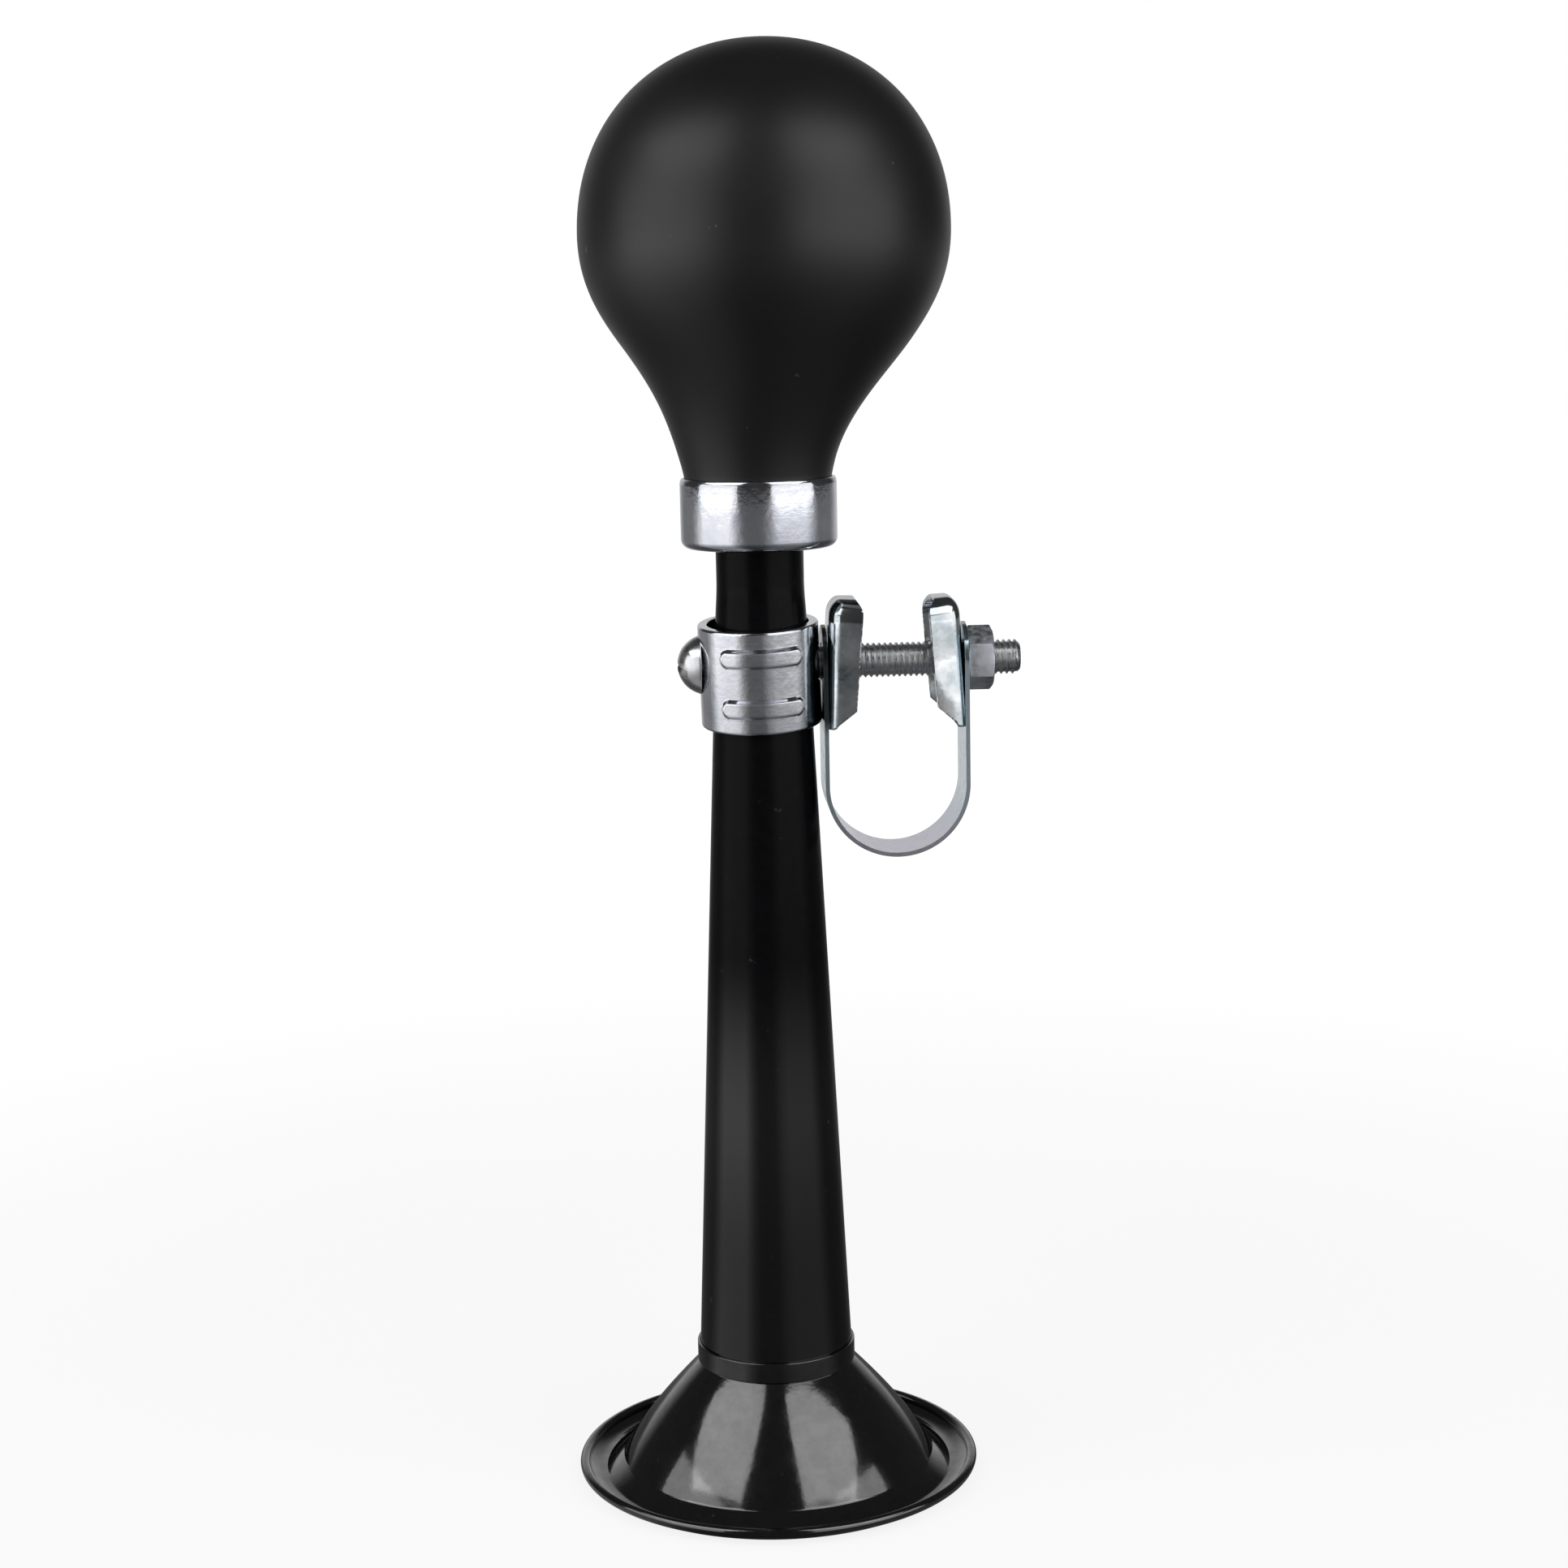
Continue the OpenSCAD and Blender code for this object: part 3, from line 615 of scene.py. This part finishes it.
def makeBolt():
    shape = boltShape
    pitch, steps = shape["pitch"], 40
    bm = bmesh.new()
    start = shape["start"] - pitch
    turns = int((shape["end"] - start) / pitch) + 1
    foot, rise, fall, end = shape["tooth"]
    tooth = [(shape["root"], 0), (shape["root"], foot), (shape["crest"], rise), (shape["crest"], fall),
             (shape["root"], end), (shape["root"], pitch)]
    corners = [bm.verts.new(((start + along) * mm, 0, radius * mm)) for radius, along in tooth]
    for pair in zip(corners, corners[1:]):
        bm.edges.new(pair)
    bmesh.ops.spin(bm, geom=bm.verts[:] + bm.edges[:], cent=(0, 0, 0), axis=(1, 0, 0),
                   dvec=(pitch / steps * mm, 0, 0), angle=2 * pi * turns, steps=steps * turns, use_merge=False)
    bmesh.ops.remove_doubles(bm, verts=bm.verts[:], dist=0.004 * mm)
    for place, side in ((shape["start"], "clear_inner"), (shape["end"], "clear_outer")):
        bmesh.ops.bisect_plane(bm, geom=bm.verts[:] + bm.edges[:] + bm.faces[:], dist=1e-7,
                               plane_co=(place * mm, 0, 0), plane_no=(1, 0, 0), **{side: True})
    bmesh.ops.holes_fill(bm, edges=[e for e in bm.edges if len(e.link_faces) == 1], sides=0)
    for vert in bm.verts:
        limit = shape["crest"] - shape["tip"] + (shape["end"] - vert.co.x / mm)
        radius = sqrt(vert.co.y ** 2 + vert.co.z ** 2) / mm
        if radius > limit:
            vert.co.y, vert.co.z = vert.co.y * limit / radius, vert.co.z * limit / radius
    bmesh.ops.recalc_face_normals(bm, faces=bm.faces[:])
    thread = newPiece("boltThread", bm, "bolt", 30)

    dome = (shape["head"] ** 2 + shape["headHeight"] ** 2) / (2 * shape["headHeight"])
    reach = asin(shape["head"] / dome)
    outline = [(0, 0), (shape["head"] - shape["headEdge"], 0), (shape["head"], shape["headEdge"])]
    outline += [(dome * sin(reach * (1 - i / 24)), shape["headHeight"] - dome + dome * cos(reach * (1 - i / 24)))
                for i in range(2, 25)]
    head = newPiece("boltHead", turned(outline, 96, closed=False), "bolt")
    slot = bmesh.new()
    bmesh.ops.create_cube(slot, size=1)
    bmesh.ops.scale(slot, vec=(shape["slot"] * mm, 12 * mm, 2 * shape["slotDepth"] * mm), verts=slot.verts[:])
    movedBy(slot, z=shape["headHeight"])
    turnedBy(slot, shape["slotTurn"], "Z")
    joined = taken(softened(carve(head, newPiece("slotCutter", slot, "bolt")), 0.12, 45))
    for face in joined.faces:
        face.material_index = 1
    turnedBy(joined, -90, "Y")
    movedBy(joined, x=shape["start"])
    joined.from_mesh(thread.data)
    movedBy(joined, z=heights["bolt"])
    bpy.data.objects.remove(thread)
    bolt = newPiece("clampBolt", joined, "bolt", 32)
    bolt.data.materials.append(finishes["head"])
    return bolt


# nut: hexagon with both ends bevelled, and a clean bore for the thread
nutShape = {"flats": 8, "thick": 3.7, "start": 28.8, "bore": 2.5, "bevel": 0.58, "face": 0.98}


def makeNut():
    shape = nutShape
    corner = shape["flats"] / 2 / cos(radians(30))
    bevel = (corner - shape["flats"] / 2) * shape["bevel"]
    half, flat = shape["thick"] / 2, shape["flats"] / 2 * shape["face"]
    hexagon = bmesh.new()
    bmesh.ops.create_cone(hexagon, cap_ends=True, segments=6, radius1=corner * mm, radius2=corner * mm,
                          depth=shape["thick"] * mm)
    turnedBy(hexagon, 30, "Z")
    blank = turned([(0, -half), (flat, -half), (corner, bevel - half), (corner, half - bevel), (flat, half),
                    (0, half)], 96, closed=False)
    nut = carve(newPiece("nutShell", hexagon, "nut"), newPiece("nutBlank", blank, "nut"), "INTERSECT")
    carve(nut, newPiece("nutBore", rod(shape["bore"], 3 * shape["thick"]), "nut"))
    bm = taken(softened(nut, 0.15, 35))
    turnedBy(bm, 90, "Y")
    movedBy(bm, shape["start"] + half, heights["bolt"])
    return newPiece("clampNut", bm, "nut", 30)


pieces = {"bell": (makeBell(), "horn", "black_enamel"),
          "horn_tube": (makeTube(), "horn", "black_enamel"),
          "bulb_ferrule": (makeFerrule(), "horn", "chrome_plate"),
          "tube_collar": (makeCollar(), "horn", "chrome_plate"),
          "inner_jaw": (makeJaw("innerJaw"), "clamp", "chrome_plate"),
          "outer_jaw": (makeJaw("outerJaw"), "jaw", "chrome_plate"),
          "clamp_bolt": (makeBolt(), "bolt", "plated_steel"),
          "clamp_nut": (makeNut(), "nut", "plated_steel")}
for node, (piece, body, slotName) in pieces.items():
    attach(piece, body)
    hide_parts(node)
print("hard pieces made:", len(pieces))

squeezeBulb = makeBulb()
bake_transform(squeezeBulb)
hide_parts("bulb")
handlebarStrap = makeStrap()
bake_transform(handlebarStrap)
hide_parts("handlebar_strap")
print("bending pieces made: 2")

# the reed's brass pieces stay as the frame has them
for node in ("reed_holder", "reed_trough", "reed_tongue", "reed_wedge"):
    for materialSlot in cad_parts[node].material_slots:
        materialSlot.material = finishes["brass"]

# table: pale, white to the camera, with the horn's own shadow left on it. Each fade is two distances from
# the horn in metres and what it goes from and to
tableLook = {"size": 6.0, "colour": 0.16, "roughness": 0.9, "shine": 0.1, "darkness": 0.02, "turn": -10,
             "glow": (0.1, 0.5, 0.86, 1.0), "reflection": (0.15, 0.6, 0.29, 1.25),
             "dimming": (0.4, 1.05, 0.58, 0.12), "dimmedSide": (0.1, 0.45),
             "mirrored": [(0.0, 0.5), (0.03, 0.46), (0.08, 0.26), (0.14, 0.15), (0.37, 0.15), (0.45, 0.32),
                          (0.58, 0.84), (0.9, 0.84), (0.96, 0.26), (0.985, 0.1), (1.0, 0.09)]}


def makeTable():
    look = tableLook
    material, shader, place = newFinish("paleTable", {**look, "colour": (look["colour"],) * 3})
    shader.inputs["Specular IOR Level"].default_value = look["shine"]
    nodes = material.node_tree.nodes
    rays = nodes.new("ShaderNodeLightPath")
    # mirrors see only the table's own glow
    link(material, mixOn(material, rays.outputs["Is Glossy Ray"], (look["colour"],) * 3, (look["darkness"],) * 3),
         shader.inputs["Base Color"])
    far = nodes.new("ShaderNodeVectorMath")
    far.operation = "LENGTH"
    front = nodes.new("ShaderNodeVectorMath")
    front.operation = "DOT_PRODUCT"
    for node in (far, front):
        link(material, place.outputs["Object"], node.inputs[0])
    turn = radians(look["turn"])
    front.inputs[1].default_value = (sin(turn), -cos(turn), 0)
    distance = far.outputs["Value"]
    # in reflections the table is bright at the horn's sides and dark before and behind them
    ahead = mathOn(material, "ADD", 0.5, mathOn(material, "MULTIPLY", 0.5, mathOn(
        material, "DIVIDE", front.outputs["Value"], distance)))
    bright = mathOn(material, "MULTIPLY", rampOn(material, ahead, look["mirrored"]),
                    fadeOn(material, distance, *look["reflection"], "LINEAR"))
    right = splitOn(material, place.outputs["Object"])["X"]
    rightward = fadeOn(material, mathOn(material, "DIVIDE", right, distance), *look["dimmedSide"])
    dimming = mathOn(material, "MULTIPLY", rightward, fadeOn(material, distance, *look["dimming"]))
    bright = mathOn(material, "MULTIPLY", bright, mathOn(material, "SUBTRACT", 1, dimming))
    mirrored = mathOn(material, "MULTIPLY", bright, mathOn(
        material, "MAXIMUM", rays.outputs["Is Glossy Ray"], rays.outputs["Is Transmission Ray"]))
    # away from the horn the table goes over into the white surround
    seen = mathOn(material, "MULTIPLY", rays.outputs["Is Camera Ray"], fadeOn(material, distance, *look["glow"]))
    shader.inputs["Emission Color"].default_value = (1, 1, 1, 1)
    link(material, mathOn(material, "MAXIMUM", seen, mirrored), shader.inputs["Emission Strength"])
    finishes["table"] = material
    bm = bmesh.new()
    bmesh.ops.create_grid(bm, x_segments=1, y_segments=1, size=look["size"] / 2)
    newPiece("tableTop", bm, "table")


makeTable()

# studio: two soft boxes beside the camera, two more overhead, and a low backdrop behind the horn
studio = {"side": {"height": 0.43, "away": 0.75, "middle": 0.295, "glow": 1.05,
                   "left": (-66, 0.94), "right": (50, 1.02)},  # angle about the horn, and width
          "top": {"depth": 0.74, "lift": 0.8, "glow": 1.6,
                  "left": (-0.78, -0.36, 0.95, -36), "right": (0.64, -0.565, 0.9, 20)},  # x, y, width and turn
          "fill": 0.2, "room": 0.035, "backdrop": 0.54, "behind": (0.68, 0.95), "low": (0.72, 0.3)}


def softBox(name, place, target, width, height, glow, turn=0):
    light = bpy.data.lights.new(name, "AREA")
    light.shape, light.size, light.size_y, light.energy = "RECTANGLE", width, height, glow * pi * width * height
    lamp = bpy.data.objects.new(name, light)
    lamp.location = place
    aim = (Vector(target) - Vector(place)).to_track_quat("-Z", "Y")
    lamp.rotation_euler = (aim @ Quaternion((0, 0, 1), radians(turn))).to_euler()
    scene.collection.objects.link(lamp)


def lightStudio():
    side, top = studio["side"], studio["top"]
    for name, (angle, width) in (("softBoxLeft", side["left"]), ("softBoxRight", side["right"])):
        place = Vector((sin(radians(angle)), -cos(radians(angle)), 0)) * side["away"]
        place.z = side["middle"]
        softBox(name, place, (0, 0, side["middle"]), width, side["height"], side["glow"])
    for name, (x, y, width, turn) in (("topBoxLeft", top["left"]), ("topBoxRight", top["right"])):
        softBox(name, (x, y, top["lift"]), (x, y, 0), width, top["depth"], top["glow"], turn)
    world = bpy.data.worlds.new("paleSurround")
    scene.world = world
    world.use_nodes = True
    nodes = world.node_tree.nodes
    background = nodes["Background"]
    background.inputs["Color"].default_value = (1, 1, 1, 1)
    rays = nodes.new("ShaderNodeLightPath")
    way = splitOn(world, nodes.new("ShaderNodeTexCoord").outputs["Generated"])

    def blendIn(first, second, mask):
        node = nodes.new("ShaderNodeMix")
        node.data_type = "FLOAT"
        link(world, mask, node.inputs["Factor"])
        for socket, value in ((node.inputs["A"], first), (node.inputs["B"], second)):
            if isinstance(value, (int, float)):
                socket.default_value = value
            else:
                link(world, value, socket)
        return node.outputs["Result"]
    # reflections show a low backdrop behind the horn, and a dim room all round it
    backdrop = fadeOn(world, way["Y"], *studio["behind"], studio["room"], studio["backdrop"])
    behind = blendIn(studio["room"], backdrop, fadeOn(world, way["Z"], *studio["low"]))
    mirrored = blendIn(studio["fill"], behind, rays.outputs["Is Glossy Ray"])
    through = blendIn(mirrored, 1.0, rays.outputs["Is Transmission Ray"])
    link(world, blendIn(through, 1.0, rays.outputs["Is Camera Ray"]), background.inputs["Strength"])


lightStudio()

# camera where the photograph was taken from: 3600 pixels of focal length on a picture 1932 pixels wide
cameraPlace = {"focal": 3600 / 1932 * 36, "away": 408.0, "aside": 2.77, "height": 171.4, "down": 9.7,
               "yaw": 3.0, "roll": -1.1437}


def makeCamera():
    shape = cameraPlace
    lens = bpy.data.cameras.new("photoCamera")
    lens.lens, lens.sensor_width, lens.sensor_fit = shape["focal"], 36, "HORIZONTAL"
    lens.clip_start, lens.clip_end = 0.01, 20
    camera = bpy.data.objects.new("photoCamera", lens)
    yaw = radians(shape["yaw"])
    forward, right = Vector((sin(yaw), cos(yaw), 0)), Vector((cos(yaw), -sin(yaw), 0))
    place = (right * shape["aside"] - forward * shape["away"]) * mm
    place.z = shape["height"] * mm
    turn = Matrix.Rotation(-yaw, 4, "Z") @ Matrix.Rotation(radians(90 - shape["down"]), 4, "X") @ \
        Matrix.Rotation(radians(shape["roll"]), 4, "Z")
    camera.matrix_world = Matrix.Translation(place) @ turn
    scene.collection.objects.link(camera)
    scene.camera = camera


makeCamera()
scene.view_settings.view_transform = "Standard"
print("studio and camera set")
